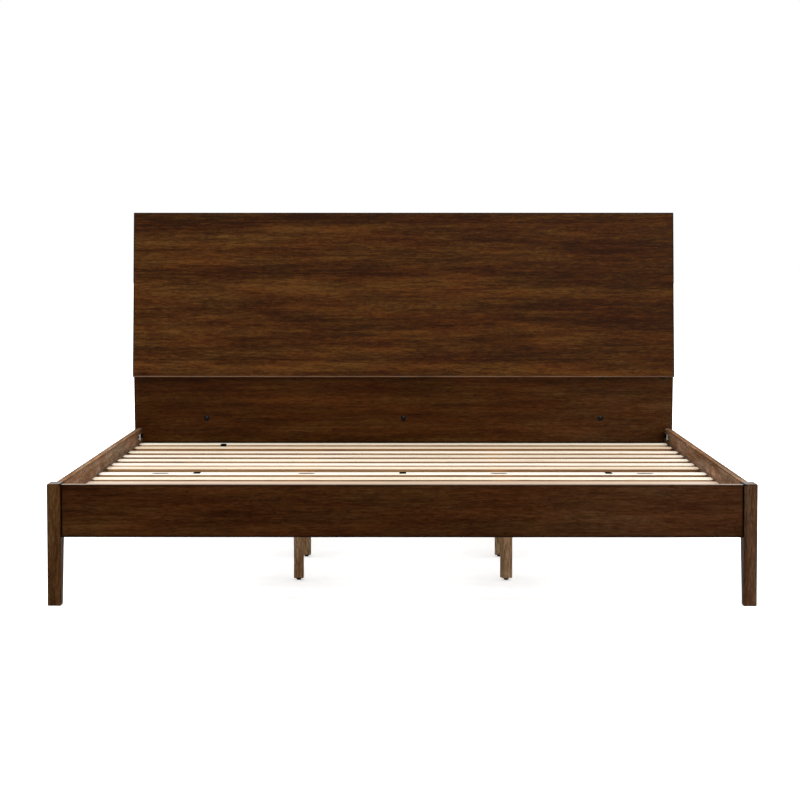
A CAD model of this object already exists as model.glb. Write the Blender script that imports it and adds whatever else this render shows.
"""Looks for the wooden bed frame: stained walnut, bare pine slats, black webbing and plain hardware."""

import math

import bmesh
import bpy
from mathutils import Matrix, Vector


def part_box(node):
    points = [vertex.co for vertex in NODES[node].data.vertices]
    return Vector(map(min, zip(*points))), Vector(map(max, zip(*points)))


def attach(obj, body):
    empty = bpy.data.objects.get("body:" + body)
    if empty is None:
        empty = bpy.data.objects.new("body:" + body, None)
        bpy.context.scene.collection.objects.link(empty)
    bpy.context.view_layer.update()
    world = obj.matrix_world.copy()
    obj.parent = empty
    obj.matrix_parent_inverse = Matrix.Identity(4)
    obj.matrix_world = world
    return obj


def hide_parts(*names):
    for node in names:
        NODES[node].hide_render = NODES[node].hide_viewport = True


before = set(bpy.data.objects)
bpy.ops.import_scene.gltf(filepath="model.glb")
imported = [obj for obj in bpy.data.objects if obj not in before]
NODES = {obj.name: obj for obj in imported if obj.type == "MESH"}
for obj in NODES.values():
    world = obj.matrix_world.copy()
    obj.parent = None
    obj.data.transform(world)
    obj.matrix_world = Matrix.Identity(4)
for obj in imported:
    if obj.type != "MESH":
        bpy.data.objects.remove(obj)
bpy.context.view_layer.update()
SIDES = ("left", "right")
PLACES = ("left", "centre", "right")
ROWS = (1, 2, 3)                     # rows of centre legs, from the foot end
LAST_SLAT = 13


# ---------- camera, light and floor ----------

CAMERA_PLACE = (0.0165, -7.756, 1.0243)
CAMERA_DOWN = 3.721                  # degrees below the horizon
CAMERA_TURN = 0.193                  # degrees to the left of straight along the bed
SENSOR_MM = 36
LENS_MM = 105.62
LIGHT_IN_FRONT = 0.16                # strength of the surroundings' light in front of the bed
LIGHT_BEHIND = 1.5
FLOOR_GREY = 0.84                    # the floor as the camera sees it, with its glow
FLOOR_GLOW = 0.45
FLOOR_BOUNCE = 0.30                  # the floor as the wood sees it
FLOOR_DROP = 0.0005                  # keeps the floor just clear of the feet


def make_camera():
    """Camera well beyond the foot end, a little below the headboard's top, looking slightly down."""
    data = bpy.data.cameras.new("camera")
    data.sensor_width = SENSOR_MM
    data.lens = LENS_MM
    data.clip_end = 100
    camera = bpy.data.objects.new("camera", data)
    camera.location = CAMERA_PLACE
    camera.rotation_euler = (math.radians(90 - CAMERA_DOWN), 0, math.radians(CAMERA_TURN))
    bpy.context.scene.collection.objects.link(camera)
    bpy.context.scene.camera = camera


def add_sun(name, strength, spread, tilt, turn):
    """Sun with soft shadows: tilt is its angle from straight down, turn the side that it comes from."""
    data = bpy.data.lights.new(name, "SUN")
    data.energy = strength
    data.angle = math.radians(spread)
    lamp = bpy.data.objects.new(name, data)
    lamp.rotation_euler = (math.radians(tilt), 0, math.radians(turn))
    bpy.context.scene.collection.objects.link(lamp)


def make_lights():
    add_sun("overhead", strength=3.4, spread=60, tilt=6, turn=0)
    add_sun("front_fill", strength=0.9, spread=30, tilt=60, turn=12)


def make_surroundings():
    """White to look at, but lighting the bed more from behind than from in front."""
    world = bpy.data.worlds.new("studio")
    bpy.context.scene.world = world
    world.use_nodes = True
    nodes = world.node_tree.nodes
    links = world.node_tree.links
    nodes.clear()
    coords = nodes.new("ShaderNodeTexCoord")
    split = nodes.new("ShaderNodeSeparateXYZ")
    links.new(coords.outputs["Generated"], split.inputs[0])
    ramp = nodes.new("ShaderNodeMapRange")
    ramp.inputs["From Min"].default_value = -0.5
    ramp.inputs["From Max"].default_value = 0.8
    ramp.inputs["To Min"].default_value = LIGHT_IN_FRONT
    ramp.inputs["To Max"].default_value = LIGHT_BEHIND
    links.new(split.outputs["Y"], ramp.inputs["Value"])
    soft = nodes.new("ShaderNodeBackground")
    links.new(ramp.outputs["Result"], soft.inputs["Strength"])
    white = nodes.new("ShaderNodeBackground")
    for background in (soft, white):
        background.inputs["Color"].default_value = (1, 1, 1, 1)
    rays = nodes.new("ShaderNodeLightPath")
    mix = nodes.new("ShaderNodeMixShader")
    output = nodes.new("ShaderNodeOutputWorld")
    links.new(rays.outputs["Is Camera Ray"], mix.inputs[0])
    links.new(soft.outputs[0], mix.inputs[1])
    links.new(white.outputs[0], mix.inputs[2])
    links.new(mix.outputs[0], output.inputs["Surface"])


def make_floor():
    """Pale floor that looks white but throws little light back up at the wood."""
    bpy.ops.mesh.primitive_plane_add(size=120, location=(0, 0, -FLOOR_DROP))
    floor = bpy.context.object
    floor.name = "floor"
    look = Look("pale_floor", roughness=0.7, specular=0.1)
    seen = look.node("ShaderNodeLightPath").outputs["Is Camera Ray"]
    look.colour(look.blend(seen, [FLOOR_BOUNCE] * 3, [FLOOR_GREY] * 3))
    look.shader.inputs["Emission Color"].default_value = (1, 1, 1, 1)
    look.feed(look.shader.inputs["Emission Strength"], look.times(seen, FLOOR_GLOW))
    floor.data.materials.append(look.material)


# ---------- node trees ----------

MIX_COLOURS = (6, 7)                 # the Mix node's two colour inputs, and its colour output
MIX_RESULT = 2


class Look:
    """One material's node tree, with short names for the nodes that are used here."""

    def __init__(self, name, roughness=0.5, metallic=0.0, specular=0.5):
        self.material = bpy.data.materials.new(name)
        self.material.use_nodes = True
        self.tree = self.material.node_tree
        self.shader = self.tree.nodes["Principled BSDF"]
        self.shader.inputs["Roughness"].default_value = roughness
        self.shader.inputs["Metallic"].default_value = metallic
        self.shader.inputs["Specular IOR Level"].default_value = specular
        self.place = self.node("ShaderNodeTexCoord").outputs["Object"]

    def node(self, kind, **settings):
        made = self.tree.nodes.new(kind)
        for key, value in settings.items():
            setattr(made, key, value)
        return made

    def feed(self, socket, value):
        """Links a socket to another one, or sets it to a plain value."""
        if isinstance(value, bpy.types.NodeSocket):
            self.tree.links.new(value, socket)
        else:
            socket.default_value = value

    def math(self, operation, *values):
        made = self.node("ShaderNodeMath", operation=operation)
        for socket, value in zip(made.inputs, values):
            self.feed(socket, value)
        return made.outputs[0]

    def times(self, first, second):
        return self.math("MULTIPLY", first, second)

    def length(self, first, second):
        """Length of the hypotenuse over two values."""
        squares = self.math("ADD", self.times(first, first), self.times(second, second))
        return self.math("SQRT", squares)

    def mapped(self, vector, scale=(1, 1, 1), turn=(0, 0, 0), shift=(0, 0, 0)):
        made = self.node("ShaderNodeMapping")
        self.feed(made.inputs["Vector"], vector)
        made.inputs["Scale"].default_value = scale
        made.inputs["Rotation"].default_value = turn
        made.inputs["Location"].default_value = shift
        return made.outputs[0]

    def noise(self, vector, scale, detail=3.0, rough=0.5, bend=0.0):
        made = self.node("ShaderNodeTexNoise")
        self.feed(made.inputs["Vector"], vector)
        made.inputs["Scale"].default_value = scale
        made.inputs["Detail"].default_value = detail
        made.inputs["Roughness"].default_value = rough
        made.inputs["Distortion"].default_value = bend
        return made.outputs["Fac"]

    def split(self, vector):
        made = self.node("ShaderNodeSeparateXYZ")
        self.feed(made.inputs[0], vector)
        return made.outputs

    def off_middle(self):
        """Distance from the bed's middle plane."""
        return self.math("ABSOLUTE", self.split(self.place)[0])

    def span(self, value, low, high, out_low=0.0, out_high=1.0):
        """value taken from low..high to out_low..out_high, held at the ends, with an eased middle."""
        made = self.node("ShaderNodeMapRange", interpolation_type="SMOOTHSTEP")
        self.feed(made.inputs["Value"], value)
        limits = {"From Min": low, "From Max": high, "To Min": out_low, "To Max": out_high}
        for name, number in limits.items():
            made.inputs[name].default_value = number
        return made.outputs[0]

    def ramp(self, value, stops):
        made = self.node("ShaderNodeValToRGB")
        self.feed(made.inputs[0], value)
        elements = made.color_ramp.elements
        while len(elements) < len(stops):
            elements.new(0.5)
        for element, (position, colour) in zip(elements, stops):
            element.position = position
            element.color = (*colour, 1)
        return made.outputs[0]

    def blend(self, amount, first, second, kind="MIX"):
        made = self.node("ShaderNodeMix", data_type="RGBA", blend_type=kind)
        self.feed(made.inputs[0], amount)
        for index, value in zip(MIX_COLOURS, (first, second)):
            is_socket = isinstance(value, bpy.types.NodeSocket)
            self.feed(made.inputs[index], value if is_socket else (*value, 1))
        return made.outputs[MIX_RESULT]

    def colour(self, value):
        self.feed(self.shader.inputs["Base Color"], value)

    def rough(self, value):
        self.feed(self.shader.inputs["Roughness"], value)

    def bump(self, height, depth):
        made = self.node("ShaderNodeBump")
        made.inputs["Strength"].default_value = 1
        made.inputs["Distance"].default_value = depth
        self.feed(made.inputs["Height"], height)
        self.tree.links.new(made.outputs[0], self.shader.inputs["Normal"])

    def edge(self, place, box, width):
        """1 along the edges of a box in place's frame, falling to 0 at width from them."""
        low, high = box
        near = [
            self.math("MINIMUM", self.math("SUBTRACT", p, l), self.math("SUBTRACT", h, p))
            for p, l, h in zip(self.split(place), low, high)
        ]
        pair_low = self.math("MINIMUM", near[0], near[1])
        pair_high = self.math("MAXIMUM", near[0], near[1])
        second = self.math("MAXIMUM", pair_low, self.math("MINIMUM", pair_high, near[2]))
        return self.span(second, 0, width, 1, 0)


def give(names, look):
    """Leaves each named CAD node with a single slot that holds this look's material."""
    for name in names:
        mesh = NODES[name].data
        mesh.materials.clear()
        mesh.materials.append(look.material)
        for face in mesh.polygons:
            face.material_index = 0


# ---------- wood ----------

LEAN_BACK = math.radians(7)          # the upper panel's lean
LEAN_FORWARD = math.radians(-5.7)    # the lower panel's lean
PANEL_T = 0.020                      # thickness of both headboard panels


def leaning_frame(node, lean):
    """Turn and shift from the bed's frame to a leaning panel's own, and the panel's box there."""
    low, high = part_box(node)
    rise = (high.z - low.z - PANEL_T * math.sin(abs(lean))) / math.cos(lean)
    if lean > 0:
        start = Vector((0, low.y, low.z + PANEL_T * math.sin(lean)))
    else:
        start = Vector((0, high.y - PANEL_T * math.cos(lean), low.z))
    shift = -(Matrix.Rotation(lean, 3, "X") @ start)
    return (lean, 0, 0), shift, ((low.x, 0, 0), (high.x, PANEL_T, rise))


class Wood(Look):
    """Stained or bare timber whose grain runs along one axis of its own frame."""

    def __init__(self, name, along, node, seed, lean=0.0, gloss=0.45, specular=0.06):
        super().__init__(name, roughness=gloss, specular=specular)
        self.along = along
        self.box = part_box(node)
        self.board = self.place
        if lean:
            turn, shift, self.box = leaning_frame(node, lean)
            self.board = self.mapped(self.place, turn=turn, shift=shift)
        self.seeded = self.mapped(self.board, shift=(seed, seed * 1.7, seed * 0.6))

    def marks(self, length, width, **settings):
        """Noise whose marks are about length by width metres and lie along the grain."""
        scale = [1 / width] * 3
        scale["XYZ".index(self.along)] = 1 / length
        return self.noise(self.mapped(self.seeded, scale), 1, **settings)

    def tone(self, *layers):
        """Sum of (noise, strength) layers round a middle tone of one half."""
        total = 0.5
        for value, strength in layers:
            total = self.math("MULTIPLY_ADD", self.math("SUBTRACT", value, 0.5), strength, total)
        return total

    def facing(self, axis):
        """How squarely a face looks along an axis, either way: 0 to 1."""
        normal = self.split(self.node("ShaderNodeTexCoord").outputs["Normal"])
        return self.math("ABSOLUTE", normal["XYZ".index(axis)])


WALNUT = [
    (0.20, (0.0270, 0.0078, 0.0010)), (0.43, (0.0510, 0.0165, 0.0025)),
    (0.58, (0.0720, 0.0250, 0.0042)), (0.84, (0.1200, 0.0460, 0.0090)),
]
HUES = [(0.0, (1.0, 0.86, 0.72)), (1.0, (1.0, 1.08, 1.05))]  # factors that the stain drifts between
BLACKENED = 0.3                      # pores and arrises, against the darkest stain
BLACKEST = 0.25                      # joints and shadows, against pores and arrises


def scaled(colour, factor):
    return tuple(factor * channel for channel in colour)


def tinted(stops, red, green, blue):
    return [(position, (r * red, g * green, b * blue)) for position, (r, g, b) in stops]


def rings(wood, centre, stretch, pitch):
    """Pointed growth-ring lines of a flat-sawn board, closed round a centre far along the grain."""
    x, _, z = wood.split(wood.seeded)
    bend = wood.times(wood.math("SUBTRACT", wood.marks(0.35, 0.05, detail=3), 0.5), 0.05)
    along = wood.math("DIVIDE", wood.math("SUBTRACT", x, centre[0]), stretch)
    across = wood.math("ADD", wood.math("SUBTRACT", z, centre[1]), bend)
    wave = wood.math("FRACT", wood.math("DIVIDE", wood.length(along, across), pitch))
    line = wood.span(wave, 0.80, 0.97)
    faint = wood.span(wood.marks(0.30, 0.06, detail=2), 0.44, 0.62)
    return wood.times(wood.times(line, faint), wood.span(wave, 0.97, 1.0, 1, 0))


def open_pores(wood):
    """Short pores along the grain, closer in some patches than in others."""
    patches = wood.span(wood.marks(0.16, 0.07, detail=2), 0.40, 0.62)
    pores = wood.span(wood.marks(0.014, 0.0034, detail=1), 0.56, 0.70)
    return wood.times(pores, wood.math("MULTIPLY_ADD", patches, 0.7, 0.3))


def stain_colour(wood, tone, stops, pores, ring_lines):
    """The stain's ramp with a drifting hue, growth rings and dark pores."""
    hue = wood.span(wood.marks(0.30, 0.06, detail=3), 0.35, 0.65)
    colour = wood.blend(1.0, wood.ramp(tone, stops), wood.ramp(hue, HUES), "MULTIPLY")
    if ring_lines:
        colour = wood.blend(wood.times(rings(wood, **ring_lines), 0.55), colour, stops[0][1])
    return wood.blend(wood.times(pores, 0.5), colour, scaled(stops[0][1], BLACKENED))


def ends_and_edges(wood, colour, stops, arris, arris_dark):
    """Darkens the end grain and the arrises, some stretches of which are rubbed paler."""
    darkest = stops[0][1]
    palest = stops[-1][1]
    ends = wood.span(wood.facing(wood.along), 0.6, 0.85)
    colour = wood.blend(wood.times(ends, 0.6), colour, darkest)
    edges = wood.edge(wood.board, wood.box, arris)
    rubbed = wood.span(wood.noise(wood.seeded, 9, detail=3), 0.60, 0.68)
    colour = wood.blend(wood.times(edges, arris_dark), colour, scaled(darkest, BLACKENED))
    return wood.blend(wood.times(wood.times(edges, rubbed), 0.5), colour, palest)


def stained(name, along, node, stops, seed, lean=0.0, contrast=1.0, gloss=0.36, specular=0.06,
            arris=0.0032, arris_dark=0.65, lift=None, ring_lines=None, darken=None, pale=None,
            bloom=None):
    """Dark stained and lacquered wood: bands, streaks, short pores, dark arrises and end grain.

    arris is the width of the dark arrises and arris_dark their strength. lift adds to the tone, and
    ring_lines places growth rings. darken gives the places of black stain, pale the places and the
    colour of a worn finish, and bloom the places and the factors of a lighter one.
    """
    wood = Wood(name, along, node, seed, lean, gloss, specular)
    bands = wood.marks(0.55, 0.045, detail=3, rough=0.5, bend=0.3)
    streaks = wood.marks(0.18, 0.011, detail=5, rough=0.65, bend=0.2)
    fibre = wood.marks(0.028, 0.0045, detail=3, rough=0.7)
    pores = open_pores(wood)
    tone = wood.tone((bands, 1.0 * contrast), (streaks, 0.9 * contrast), (fibre, 1.1 * contrast))
    if lift:
        tone = wood.math("ADD", tone, lift(wood))
    colour = stain_colour(wood, tone, stops, pores, ring_lines)
    colour = ends_and_edges(wood, colour, stops, arris, arris_dark)
    if bloom:
        place, factors = bloom(wood)
        colour = wood.blend(place, colour, wood.blend(1.0, colour, factors, "MULTIPLY"))
    if pale:
        place, tint = pale(wood)
        colour = wood.blend(place, colour, tint)
    if darken:
        black = scaled(stops[0][1], BLACKENED)
        colour = wood.blend(darken(wood), colour, scaled(black, BLACKEST))
    wood.colour(colour)
    uneven = wood.math("MULTIPLY_ADD", fibre, 0.2, gloss - 0.1)
    wood.rough(wood.math("MULTIPLY_ADD", pores, 0.25, uneven))
    wood.bump(wood.math("MULTIPLY_ADD", pores, -0.9, fibre), 0.00025)
    return wood


# ---------- places on the stained boards ----------

HALF_FADE = 0.9                      # where changes across the bed are complete, from its middle


def sideways(left, right):
    """Lift that changes smoothly across the bed from its left side to its right."""
    def lift(wood):
        return wood.span(wood.split(wood.place)[0], -HALF_FADE, HALF_FADE, left, right)

    return lift


def toward(side, *factors):
    """Bloom that grows smoothly from the bed's middle to its left (-1) or its right (1)."""
    def bloom(wood):
        across = wood.times(wood.split(wood.place)[0], side)
        return wood.span(across, 0, HALF_FADE), factors

    return bloom


def inside(wood, axis, low, high, soft=0.001):
    """1 where a place's coordinate along an axis lies between low and high, with soft limits."""
    place = wood.split(wood.place)["XYZ".index(axis)]
    rise = wood.span(place, low - soft, low + soft)
    return wood.times(rise, wood.span(place, high - soft, high + soft, 1, 0))


BOTTOM_STRIP = 0.063                 # heights of the strips along the upper panel's bottom and top edges
TOP_STRIP = 0.038
BOTTOM_LIFT = 0.06                   # how much lighter the bottom strip's tone is
TOP_DROP = 0.10                      # how much darker the top strip's tone is
LINE_DROP = 0.18                     # how much darker the joint lines' tone is
STEP = 0.001                         # width of the change from strip to panel
WORN_TINT = (0.22, 0.125, 0.075)     # worn finish on the upper panel's bottom arris
RUBBED_TINT = (0.20, 0.14, 0.10)     # worn finish on the foot rail's top edge


def panel_strips(wood):
    """Lighter strip along the upper panel's bottom, a duller one along its top, and thin joint lines."""
    height = wood.split(wood.board)[2]
    top = wood.box[1][2]
    lighter = wood.span(height, BOTTOM_STRIP, BOTTOM_STRIP + STEP, BOTTOM_LIFT, 0)
    duller = wood.span(height, top - TOP_STRIP, top - TOP_STRIP + STEP, 0, TOP_DROP)
    strips = wood.math("SUBTRACT", lighter, duller)
    for line in (BOTTOM_STRIP, top - TOP_STRIP):
        off = wood.math("ABSOLUTE", wood.math("SUBTRACT", height, line))
        strips = wood.math("SUBTRACT", strips, wood.span(off, 0.0008, 0.0022, LINE_DROP, 0))
    return wood.math("ADD", strips, sideways(0.04, -0.045)(wood))


def worn_bottom(wood):
    """Thin pale line where the finish is rubbed along the upper panel's bottom front arris."""
    _, deep, height = wood.split(wood.board)
    rubbed = wood.span(wood.noise(wood.seeded, 5, detail=2), 0.35, 0.62, 0.55, 1)
    low = wood.span(height, 0.0034, 0.0040, 1, 0)
    front = wood.span(deep, 0.0030, 0.0040, 1, 0)
    return wood.times(wood.times(low, front), rubbed), WORN_TINT


WASHER_H = 0.024                     # height of a half-moon washer, and of the groove that it sits in
GROOVE_SKIN = 0.002                  # the groove's black starts this far below the rail's faces
RAIL_TOP_DROP = 0.19                 # how much darker the tone of a rail's top edge is
RAIL_HEAD_DROP = 0.30                # how much darker its tone is beside the headboard
RAIL_FACTORS = (4.0, 7.1, 29)        # lighter and greyer finish of a rail's inner face
SHADOW_X = 0.976                     # from here outwards the groove's shadow on the lower panel is full
SLAT_SHADOW = (0.012, 0.002)         # lower and upper edge of the line below the slats' tops


def routed_grooves(node):
    """The bolt grooves in a side rail's ends, left black: inside its faces, at the washers' heights."""
    low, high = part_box(node)
    washers_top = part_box("half_moon_washers")[1].z

    def mask(wood):
        deep = inside(wood, "X", low.x + GROOVE_SKIN, high.x - GROOVE_SKIN, 0.0004)
        tall = inside(wood, "Z", washers_top - WASHER_H - GROOVE_SKIN, washers_top + GROOVE_SKIN)
        return wood.times(wood.times(deep, tall), 0.9)

    return mask


def shadows(wood):
    """Black on the lower panel: just below the slats' top faces, and where the rails' grooves end."""
    slats_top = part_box(slat_name(LAST_SLAT))[1].z
    line = inside(wood, "Z", slats_top - SLAT_SHADOW[0], slats_top - SLAT_SHADOW[1])
    washers_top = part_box("half_moon_washers")[1].z
    tall = inside(wood, "Z", washers_top - WASHER_H, washers_top)
    rail_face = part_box("side_rail_right")[0].x
    groove = wood.times(tall, wood.span(wood.off_middle(), rail_face, SHADOW_X))
    return wood.times(wood.math("MAXIMUM", line, groove), 0.95)


def rail_shading(wood):
    """Darker top edge, and a darker stretch of a side rail beside the headboard."""
    _, y, z = wood.split(wood.place)
    high = wood.box[1]
    top = wood.span(z, high.z - 0.003, high.z - 0.001, 0, RAIL_TOP_DROP)
    head = wood.span(y, high.y - 0.30, high.y - 0.04, 0, RAIL_HEAD_DROP)
    return wood.times(wood.math("ADD", top, head), -1)


def rail_bloom(wood):
    """A side rail's inner face and top edge, lighter and greyer than its outer face."""
    low, high = wood.box
    outer = max(abs(low.x), abs(high.x))
    return wood.span(wood.off_middle(), outer - 0.009, outer - 0.001, 1, 0), RAIL_FACTORS


def inner_edge(wood):
    """Black along the inner edge of a front leg's top."""
    low, high = wood.box
    inner = min(abs(low.x), abs(high.x))
    near = wood.span(wood.off_middle(), inner + 0.003, inner + 0.006, 0.95, 0)
    return wood.times(near, wood.span(wood.split(wood.place)[2], high.z - 0.006, high.z - 0.004))


def rubbed_top(wood):
    """The foot rail's top edge, whose finish is worn to a paler brown."""
    top = wood.box[1].z
    return wood.span(wood.split(wood.place)[2], top - 0.0016, top - 0.0008), RUBBED_TINT


def joint_lines(wood):
    """Black in the narrow grooves where the foot rail meets the legs."""
    end = wood.box[1].x
    return wood.span(wood.off_middle(), end - 0.0045, end - 0.0025, 0, 0.95)


# ---------- stained boards ----------

LEG_TINTS = {"left": (1.45, 1.87, 3.5), "right": (1.55, 2.17, 6.6)}


def dress_front_legs():
    for index, side in enumerate(SIDES):
        node = "front_leg_" + side
        stops = tinted(WALNUT, *LEG_TINTS[side])
        look = stained("walnut_" + node, "Z", node, stops, seed=3.1 + 2.3 * index, darken=inner_edge)
        give([node], look)


def dress_rear_posts():
    for index, side in enumerate(SIDES):
        node = "rear_post_" + side
        give([node], stained("walnut_" + node, "Z", node, WALNUT, seed=3.1 + 2.3 * index))


def dress_side_rails():
    for index, side in enumerate(SIDES):
        node = "side_rail_" + side
        stops = tinted(WALNUT, 1.1, 1.15, 1.2)
        look = stained("walnut_" + node, "Y", node, stops, seed=5.3 + index,
                       contrast=0.75, specular=0.0, arris=0.0045,
                       lift=rail_shading, bloom=rail_bloom, darken=routed_grooves(node))
        give([node], look)


def dress_foot_rail():
    node = "foot_rail"
    stops = tinted(WALNUT, 0.82, 0.82, 1.15)
    look = stained("walnut_" + node, "X", node, stops, seed=1.7,
                   contrast=0.8, specular=0.03, arris=0.009, arris_dark=1.0,
                   lift=sideways(-0.03, 0.08), bloom=toward(1, 1.05, 1.17, 1.8),
                   pale=rubbed_top, darken=joint_lines)
    give([node], look)


def dress_struts():
    for index, where in enumerate(PLACES):
        node = "headboard_strut_" + where
        look = stained("walnut_strut_" + where, "Z", node, WALNUT, seed=11.2 + index, gloss=0.55)
        give([node], look)


def dress_lower_panel():
    node = "headboard_lower_panel"
    stops = tinted(WALNUT, 1.0, 0.96, 1.02)
    look = stained("walnut_lower_panel", "X", node, stops, seed=2.4, lean=LEAN_FORWARD,
                   contrast=0.85, arris=0.007, arris_dark=0.9,
                   lift=sideways(0.0, 0.05), darken=shadows, bloom=toward(1, 1.04, 1.16, 1.9))
    give([node], look)


def dress_upper_panel():
    node = "headboard_upper_panel"
    stops = tinted(WALNUT, 1.0, 0.98, 0.88)
    seed = 9.6
    figure = {"centre": (seed - 0.05, 0.6 * seed + 0.265), "stretch": 8, "pitch": 0.022}
    look = stained("walnut_upper_panel", "X", node, stops, seed, lean=LEAN_BACK,
                   contrast=1.1, arris=0.007, arris_dark=0.9,
                   lift=panel_strips, ring_lines=figure, pale=worn_bottom,
                   bloom=toward(-1, 1.06, 1.12, 1.4))
    give([node], look)


def dress_ledgers_and_beams():
    dull = tinted(WALNUT, 0.15, 0.15, 0.2)
    light = tinted(WALNUT, 6.5, 12.5, 38)
    for side in SIDES:
        node = "slat_ledger_" + side
        give([node], stained("ledger_wood_" + side, "Y", node, dull, seed=4.4, gloss=0.6))
        node = "centre_beam_" + side
        give([node], stained("beam_wood_" + side, "Y", node, light, seed=6.1, gloss=0.6))


def dress_sockets():
    nodes = ["beam_sockets_foot", "beam_sockets_head"]
    give(nodes, stained("socket_wood", "X", nodes[0], WALNUT, seed=1.9, gloss=0.6))


def dress_centre_legs():
    stops = tinted(WALNUT, 7.1, 13.6, 49.0)
    for index, side in enumerate(SIDES):
        for row in ROWS:
            node = f"centre_leg_{side}_{row}"
            seed = 8.3 + index + 0.4 * row
            give([node], stained(f"{node}_wood", "Z", node, stops, seed, gloss=0.55))


# ---------- bare pine ----------

PINE_FACE = [
    (0.20, (0.44, 0.33, 0.22)), (0.42, (0.63, 0.56, 0.46)),
    (0.60, (0.73, 0.68, 0.60)), (0.85, (0.82, 0.79, 0.73)),
]
PINE_EDGE = [
    (0.20, (0.10, 0.045, 0.015)), (0.42, (0.28, 0.145, 0.060)),
    (0.60, (0.45, 0.26, 0.120)), (0.85, (0.62, 0.42, 0.24)),
]
STREAK_BROWN = (0.14, 0.07, 0.03)
HALO_BROWN = (0.40, 0.20, 0.08)
KNOT_BROWN = (0.10, 0.045, 0.02)
SLOT_DARK = (0.02, 0.014, 0.009)


def knots(wood, length, width, size):
    """Sparse round knots, about one in each length by width: their cores and the halos round them."""
    cells = wood.node("ShaderNodeTexVoronoi", feature="F1")
    wood.feed(cells.inputs["Vector"], wood.mapped(wood.seeded, (1 / length, 1 / width, 1 / width)))
    cells.inputs["Scale"].default_value = 1
    away = wood.times(cells.outputs["Distance"], width)
    wobble = wood.math("MULTIPLY_ADD", wood.noise(wood.seeded, 90, detail=2), size * 0.8, away)
    core = wood.span(wobble, size * 0.7, size * 1.2, 1, 0)
    halo = wood.span(wobble, size, size * 3, 1, 0)
    return core, halo


def bare_pine(name, node, seed, shade=(1, 1, 1), marks=None):
    """Planed softwood with yellow latewood lines, browner edges, knots and a few dark streaks.

    shade gives factors for the whole board, and marks the places of dark marks.
    """
    wood = Wood(name, "X", node, seed, gloss=0.5, specular=0.35)
    planks = wood.marks(1.2, 0.1, detail=1)
    lines = wood.marks(0.9, 0.006, detail=4, rough=0.6, bend=0.5)
    fibre = wood.marks(0.12, 0.0022, detail=2)
    tone = wood.tone((planks, 0.5), (lines, 1.0), (fibre, 0.4))
    level = wood.span(wood.facing("Z"), 0.55, 0.9)
    colour = wood.blend(level, wood.ramp(tone, PINE_EDGE), wood.ramp(tone, PINE_FACE))
    colour = wood.blend(1.0, colour, shade, "MULTIPLY")
    streak = wood.span(wood.marks(0.06, 0.005, detail=2), 0.66, 0.74)
    colour = wood.blend(wood.times(streak, 0.7), colour, STREAK_BROWN)
    core, halo = knots(wood, length=0.65, width=0.07, size=0.006)
    colour = wood.blend(wood.times(halo, 0.35), colour, HALO_BROWN)
    colour = wood.blend(wood.times(core, 0.9), colour, KNOT_BROWN)
    if marks:
        colour = wood.blend(marks(wood), colour, SLOT_DARK)
    wood.colour(colour)
    wood.rough(wood.math("MULTIPLY_ADD", lines, 0.2, 0.42))
    wood.bump(wood.math("ADD", fibre, lines), 0.00018)
    return wood


SLOTTED_SLAT = 6
SLOT_R = 0.016                       # radius of the ends of a slat's slots
SLOT_HALF = 0.012                    # half the length of a slot's straight sides
SLOT_X = (0.308, 0.776)              # places of the slots from the middle of the bed
SLOT_SOFT = 0.001


def slots(wood):
    """Four short dark slots with round ends along a slat's middle, above the beams and near its ends."""
    low, high = wood.box
    x, y, _ = wood.split(wood.place)
    across = wood.math("SUBTRACT", y, (low.y + high.y) / 2)
    half = wood.math("ABSOLUTE", x)
    total = 0.0
    for centre in SLOT_X:
        off = wood.math("ABSOLUTE", wood.math("SUBTRACT", half, centre))
        along = wood.math("MAXIMUM", wood.math("SUBTRACT", off, SLOT_HALF), 0)
        away = wood.length(along, across)
        slot = wood.span(away, SLOT_R - SLOT_SOFT, SLOT_R + SLOT_SOFT, 0.97, 0)
        total = wood.math("ADD", total, slot)
    return total


# Tints of the slats from the foot end to the head end
SLAT_TINTS = {
    1: (0.95, 0.92, 0.88), 2: (0.98, 0.97, 0.95), 3: (0.93, 0.88, 0.80), 4: (0.70, 0.58, 0.50),
    5: (1.02, 1.00, 0.94), 6: (1.05, 1.06, 1.08), 7: (0.88, 0.80, 0.68), 8: (0.98, 0.96, 0.95),
    9: (1.00, 0.96, 0.90), 10: (1.00, 0.99, 0.98), 11: (0.98, 0.96, 0.92), 12: (0.86, 0.75, 0.62),
    13: (1.04, 1.03, 0.98),
}


def slat_name(number):
    return f"slat_{number:02d}"


def dress_slats():
    """Each slat from its own board."""
    for number, shade in SLAT_TINTS.items():
        node = slat_name(number)
        marks = slots if number == SLOTTED_SLAT else None
        give([node], bare_pine(f"{node}_pine", node, 2.6 + 0.73 * number, shade, marks))


def dress_dowels():
    give(["foot_rail_dowels"], bare_pine("dowel_wood", "foot_rail_dowels", seed=1.1))


# ---------- webbing ----------

WEB_T = 0.0014                       # thickness of the webbing at its selvedges
WEB_OFF = WEB_T / 2 + 0.0001         # from a slat's face to the middle of the webbing on it
WEB_SAG = 0.0012                     # sag between slats
WEB_IN = 0.006                       # from a strap's end to the outer edge of its slat
FIRST_ROLL = 6                       # last slat of the first roll
BACK_LAP = 0.052                     # strap laid over the first roll's last slat, from behind
FRONT_LAP = 0.024                    # left strap laid over the last slat, from its front
HEM = 0.012                          # webbing folded back on itself at a lap's end
RIB_PITCH = 0.0024
WARP_PITCH = 0.0018
WEB_HALF = 0.4                       # half the thickness between the selvedges, in parts of WEB_T

# Half of the webbing's section: (place in parts of its half width, thickness against its middle's)
SELVEDGE = [(1, 0.5), (0.97, 1.1), (0.90, 1.25), (0.84, 1.0)]


def slat_box(number):
    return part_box(slat_name(number))


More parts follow.
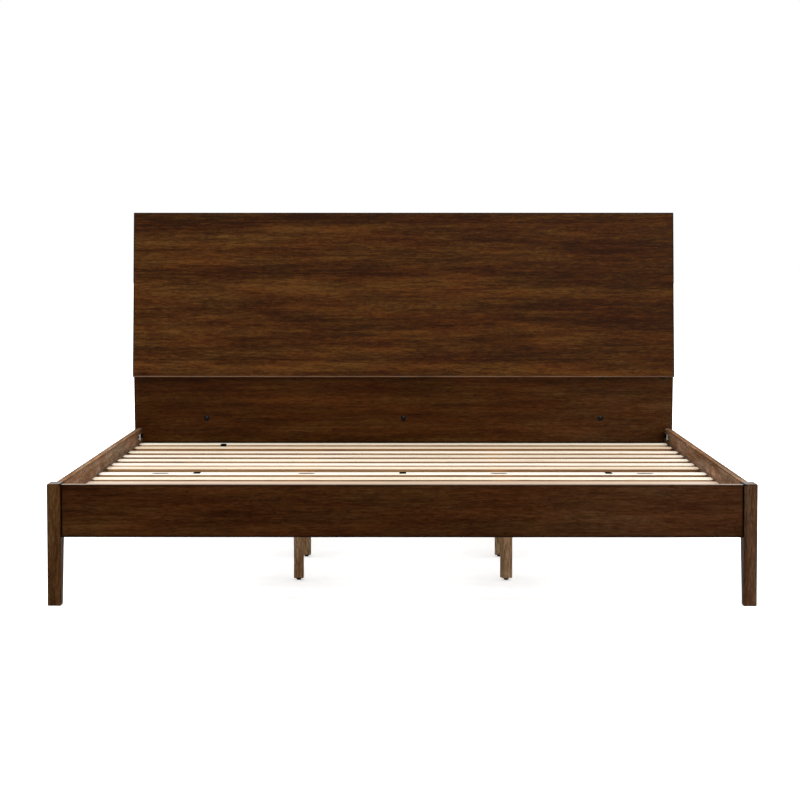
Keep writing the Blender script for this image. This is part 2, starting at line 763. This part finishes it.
def under_run(first, last):
    """Points (y, z) of a strap below slats first to last."""
    points = []
    for number in range(first, last + 1):
        low, high = slat_box(number)
        if points:
            points.append(((points[-1][0] + low.y) / 2, low.z - WEB_OFF - WEB_SAG))
        points += [(low.y, low.z - WEB_OFF), (high.y, low.z - WEB_OFF)]
    points[0] = (points[0][0] + WEB_IN, points[0][1])
    return points


def lap(edge, top, length, side):
    """Points of a strap turned up at a slat's edge, laid over it and hemmed; side is +1 behind it."""
    out = edge + side * WEB_OFF
    end = edge - side * length
    level = top + WEB_OFF
    fold = level + WEB_T
    return [(out, level), (end, level), (end, fold), (end + side * HEM, fold)]


def rolls(strap):
    """Paths of a strap's two lengths."""
    first = under_run(1, FIRST_ROLL)
    high = slat_box(FIRST_ROLL)[1]
    first[-1] = (high.y + WEB_OFF, first[-1][1])
    first += lap(high.y, high.z, BACK_LAP, 1)
    second = under_run(FIRST_ROLL + 1, LAST_SLAT)
    if strap == "left":
        low, high = slat_box(LAST_SLAT)
        second = second[:-2]
        second[-1] = (low.y - WEB_OFF, low.z - WEB_OFF)
        second += lap(low.y, high.z, FRONT_LAP, -1)
    else:
        second[-1] = (second[-1][0] - WEB_IN, second[-1][1])
    return first, second


def rounded_path(points, reach=0.0012, steps=4):
    """Path whose corners are rounded off within reach of them."""
    points = [Vector(point) for point in points]
    path = [points[0]]
    for before, corner, after in zip(points, points[1:], points[2:]):
        start, end = (corner + (other - corner).normalized() * min(reach, (other - corner).length / 2)
                      for other in (before, after))
        for step in range(steps + 1):
            t = step / steps
            path.append((1 - t) ** 2 * start + 2 * t * (1 - t) * corner + t * t * end)
    return path + [points[-1]]


def tube_faces(count, around):
    """Faces of a closed tube of count rings with around points each, and its two end caps."""
    faces = [
        (k * around + j, k * around + (j + 1) % around,
         (k + 1) * around + (j + 1) % around, (k + 1) * around + j)
        for k in range(count - 1) for j in range(around)
    ]
    total = count * around
    return faces + [tuple(reversed(range(around))), tuple(range(total - around, total))]


def ribbon(path, low_x, high_x):
    """Vertices and faces of a flat woven band along a path, with thicker selvedges."""
    across = [(-u, thick) for u, thick in SELVEDGE] + [(0, 1.0)] + SELVEDGE[::-1]
    middle = (low_x + high_x) / 2
    half = (high_x - low_x) / 2
    ring = across + [(u, -thick) for u, thick in reversed(across)]
    vertices = []
    for k, point in enumerate(path):
        ahead = path[min(k + 1, len(path) - 1)] - path[max(k - 1, 0)]
        normal = Vector((-ahead.y, ahead.x)).normalized()
        for u, thick in ring:
            place = point + normal * thick * WEB_T * WEB_HALF
            vertices.append((middle + u * half, place.x, place.y))
    return vertices, tube_faces(len(path), len(ring))


def webbing_look():
    """Black ribbed weave, a little dusty."""
    web = Look("webbing", roughness=0.85, specular=0.02)
    x, y, z = web.split(web.place)
    ribs = web.math("SINE", web.times(web.math("ADD", y, z), math.tau / RIB_PITCH))
    warp = web.math("SINE", web.times(x, math.tau / WARP_PITCH))
    weave = web.times(ribs, warp)
    dust = web.noise(web.place, 60, detail=4)
    web.colour(web.ramp(web.math("MULTIPLY_ADD", weave, 0.12, dust),
                        [(0.35, (0.001, 0.001, 0.001)), (0.75, (0.006, 0.006, 0.0055))]))
    web.bump(weave, 0.0003)
    return web


def strap_mesh(strap, node):
    """Both lengths of a strap in one mesh, as wide as the strap's CAD node."""
    low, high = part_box(node)
    vertices = []
    faces = []
    for path in rolls(strap):
        more, more_faces = ribbon(rounded_path(path), low.x, high.x)
        faces += [tuple(v + len(vertices) for v in face) for face in more_faces]
        vertices += more
    mesh = bpy.data.meshes.new("webbing_" + strap)
    mesh.from_pydata(vertices, [], faces)
    return mesh


def make_straps():
    """Webbing straps in place of their plain CAD solids."""
    look = webbing_look()
    for strap in PLACES:
        node = "strap_" + strap
        piece = add_piece(strap_mesh(strap, node), look)
        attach(piece, "frame")
        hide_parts(node)


def add_piece(mesh, look):
    """Object for a new mesh, shaded smooth, with its faces turned outwards."""
    shape = bmesh.new()
    shape.from_mesh(mesh)
    bmesh.ops.recalc_face_normals(shape, faces=shape.faces)
    shape.to_mesh(mesh)
    shape.free()
    for face in mesh.polygons:
        face.use_smooth = True
    mesh.materials.append(look.material)
    piece = bpy.data.objects.new(mesh.name, mesh)
    bpy.context.scene.collection.objects.link(piece)
    return piece


# ---------- levelling feet ----------

FOOT_SEGMENTS = 48
GRIPS = 16                           # scallops round a levelling foot's pad
GRIP_DEEP = 0.0005
STEM_R = 0.003
THREAD_PITCH = 0.0010
THREAD_DEEP = 0.0004
RINGS_PER_TURN = 5                   # rings of points along one turn of the thread
ROUND = 0.0004                       # rounding of the sole's rim and of the stem's root


def foot_rings(pad_h, pad_r, top):
    """Rings of a levelling foot, sole first: (height, radius, part of scallop and of thread depth)."""
    sole = pad_r * 0.76
    rings = [(ROUND, sole * 0.55, 0, 0), (0, sole * 0.60, 0, 0), (0, sole * 0.94, 0, 0)]
    rings += [(ROUND, sole * 0.99, 0, 0), (0.0012, sole * 1.02, 0.2, 0)]
    for part in (0.3, 0.5, 0.7, 0.85):
        rings.append((pad_h * part, sole + (pad_r - sole) * part * 1.1, 1, 0))
    rings += [(pad_h * 0.94, pad_r * 0.995, 0.3, 0), (pad_h, pad_r * 0.96, 0, 0)]
    rings += [(pad_h, STEM_R * 1.3, 0, 0), (pad_h + ROUND, STEM_R, 0, 0)]
    count = int((top - pad_h) / THREAD_PITCH * RINGS_PER_TURN)
    for k in range(1, count):
        rings.append((pad_h + ROUND + (top - pad_h - 0.0014) * k / count, STEM_R, 0, 1))
    return rings + [(top - 0.0006, STEM_R * 0.85, 0, 0), (top, STEM_R * 0.55, 0, 0)]


def foot_mesh(name, x, y, pad_h, pad_r, top):
    """Moulded foot with a scalloped pad on a threaded stem."""
    vertices = []
    rings = foot_rings(pad_h, pad_r, top)
    for height, radius, scallop, thread in rings:
        for k in range(FOOT_SEGMENTS):
            turn = k / FOOT_SEGMENTS
            wave = abs((height / THREAD_PITCH - turn) % 1 - 0.5) * 2
            grip = max(0, math.cos(GRIPS * turn * math.tau)) ** 2
            r = radius - thread * THREAD_DEEP * wave - scallop * GRIP_DEEP * grip
            angle = turn * math.tau
            vertices.append((x + r * math.cos(angle), y + r * math.sin(angle), height))
    mesh = bpy.data.meshes.new(name)
    mesh.from_pydata(vertices, [], tube_faces(len(rings), FOOT_SEGMENTS))
    return mesh


def nylon_look():
    """Speckled black nylon with grey scuffs."""
    nylon = Look("black_nylon", specular=0.35)
    speck = nylon.noise(nylon.place, 1500, detail=2)
    scuff = nylon.span(nylon.noise(nylon.mapped(nylon.place, (1, 1, 4)), 220, detail=3), 0.56, 0.70)
    colour = nylon.ramp(speck, [(0.3, (0.010, 0.010, 0.010)), (0.7, (0.020, 0.020, 0.020))])
    nylon.colour(nylon.blend(nylon.times(scuff, 0.4), colour, (0.06, 0.06, 0.058)))
    nylon.rough(nylon.span(speck, 0.2, 0.8, 0.38, 0.56))
    nylon.bump(speck, 0.00005)
    return nylon


def make_levelling_feet():
    """Levelling feet in place of their plain CAD solids."""
    look = nylon_look()
    for side in SIDES:
        for row in ROWS:
            node = f"levelling_foot_{side}_{row}"
            low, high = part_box(node)
            x = (low.x + high.x) / 2
            y = (low.y + high.y) / 2
            pad_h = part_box(f"centre_leg_{side}_{row}")[0].z
            mesh = foot_mesh(f"foot_{side}_{row}_detail", x, y, pad_h, (high.x - low.x) / 2, high.z)
            piece = add_piece(mesh, look)
            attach(piece, f"foot_{side}_{row}")
            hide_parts(node)


# ---------- hardware ----------

def black_steel():
    black = Look("black_steel", specular=0.25)
    grain = black.noise(black.place, 900, detail=2)
    black.colour(black.ramp(grain, [(0.3, (0.0008, 0.0008, 0.0008)), (0.7, (0.002, 0.002, 0.002))]))
    black.rough(black.span(grain, 0.2, 0.8, 0.14, 0.24))
    return black


def bright_zinc():
    zinc = Look("bright_zinc", metallic=0.1)
    spangle = zinc.noise(zinc.place, 350, detail=3)
    zinc.colour(zinc.ramp(spangle, [(0.3, (0.93, 0.93, 0.94)), (0.7, (0.98, 0.98, 0.98))]))
    zinc.rough(zinc.span(spangle, 0.2, 0.8, 0.3, 0.5))
    return zinc


def dress_hardware():
    black = ["bed_bolts", "headboard_bolts", "headboard_small_screws"]
    give(black + ["upper_panel_screws", "ledger_screws", "slat_screws"], black_steel())
    give(["half_moon_washers", "bed_bolt_nuts", "hanger_bolts", "foot_inserts"], bright_zinc())


make_camera()
bpy.context.scene.view_settings.view_transform = "Standard"
make_surroundings()
make_lights()
make_floor()
dress_front_legs()
dress_rear_posts()
dress_side_rails()
dress_foot_rail()
dress_struts()
dress_lower_panel()
dress_upper_panel()
dress_slats()
dress_dowels()
dress_ledgers_and_beams()
dress_sockets()
dress_centre_legs()
dress_hardware()
make_straps()
make_levelling_feet()
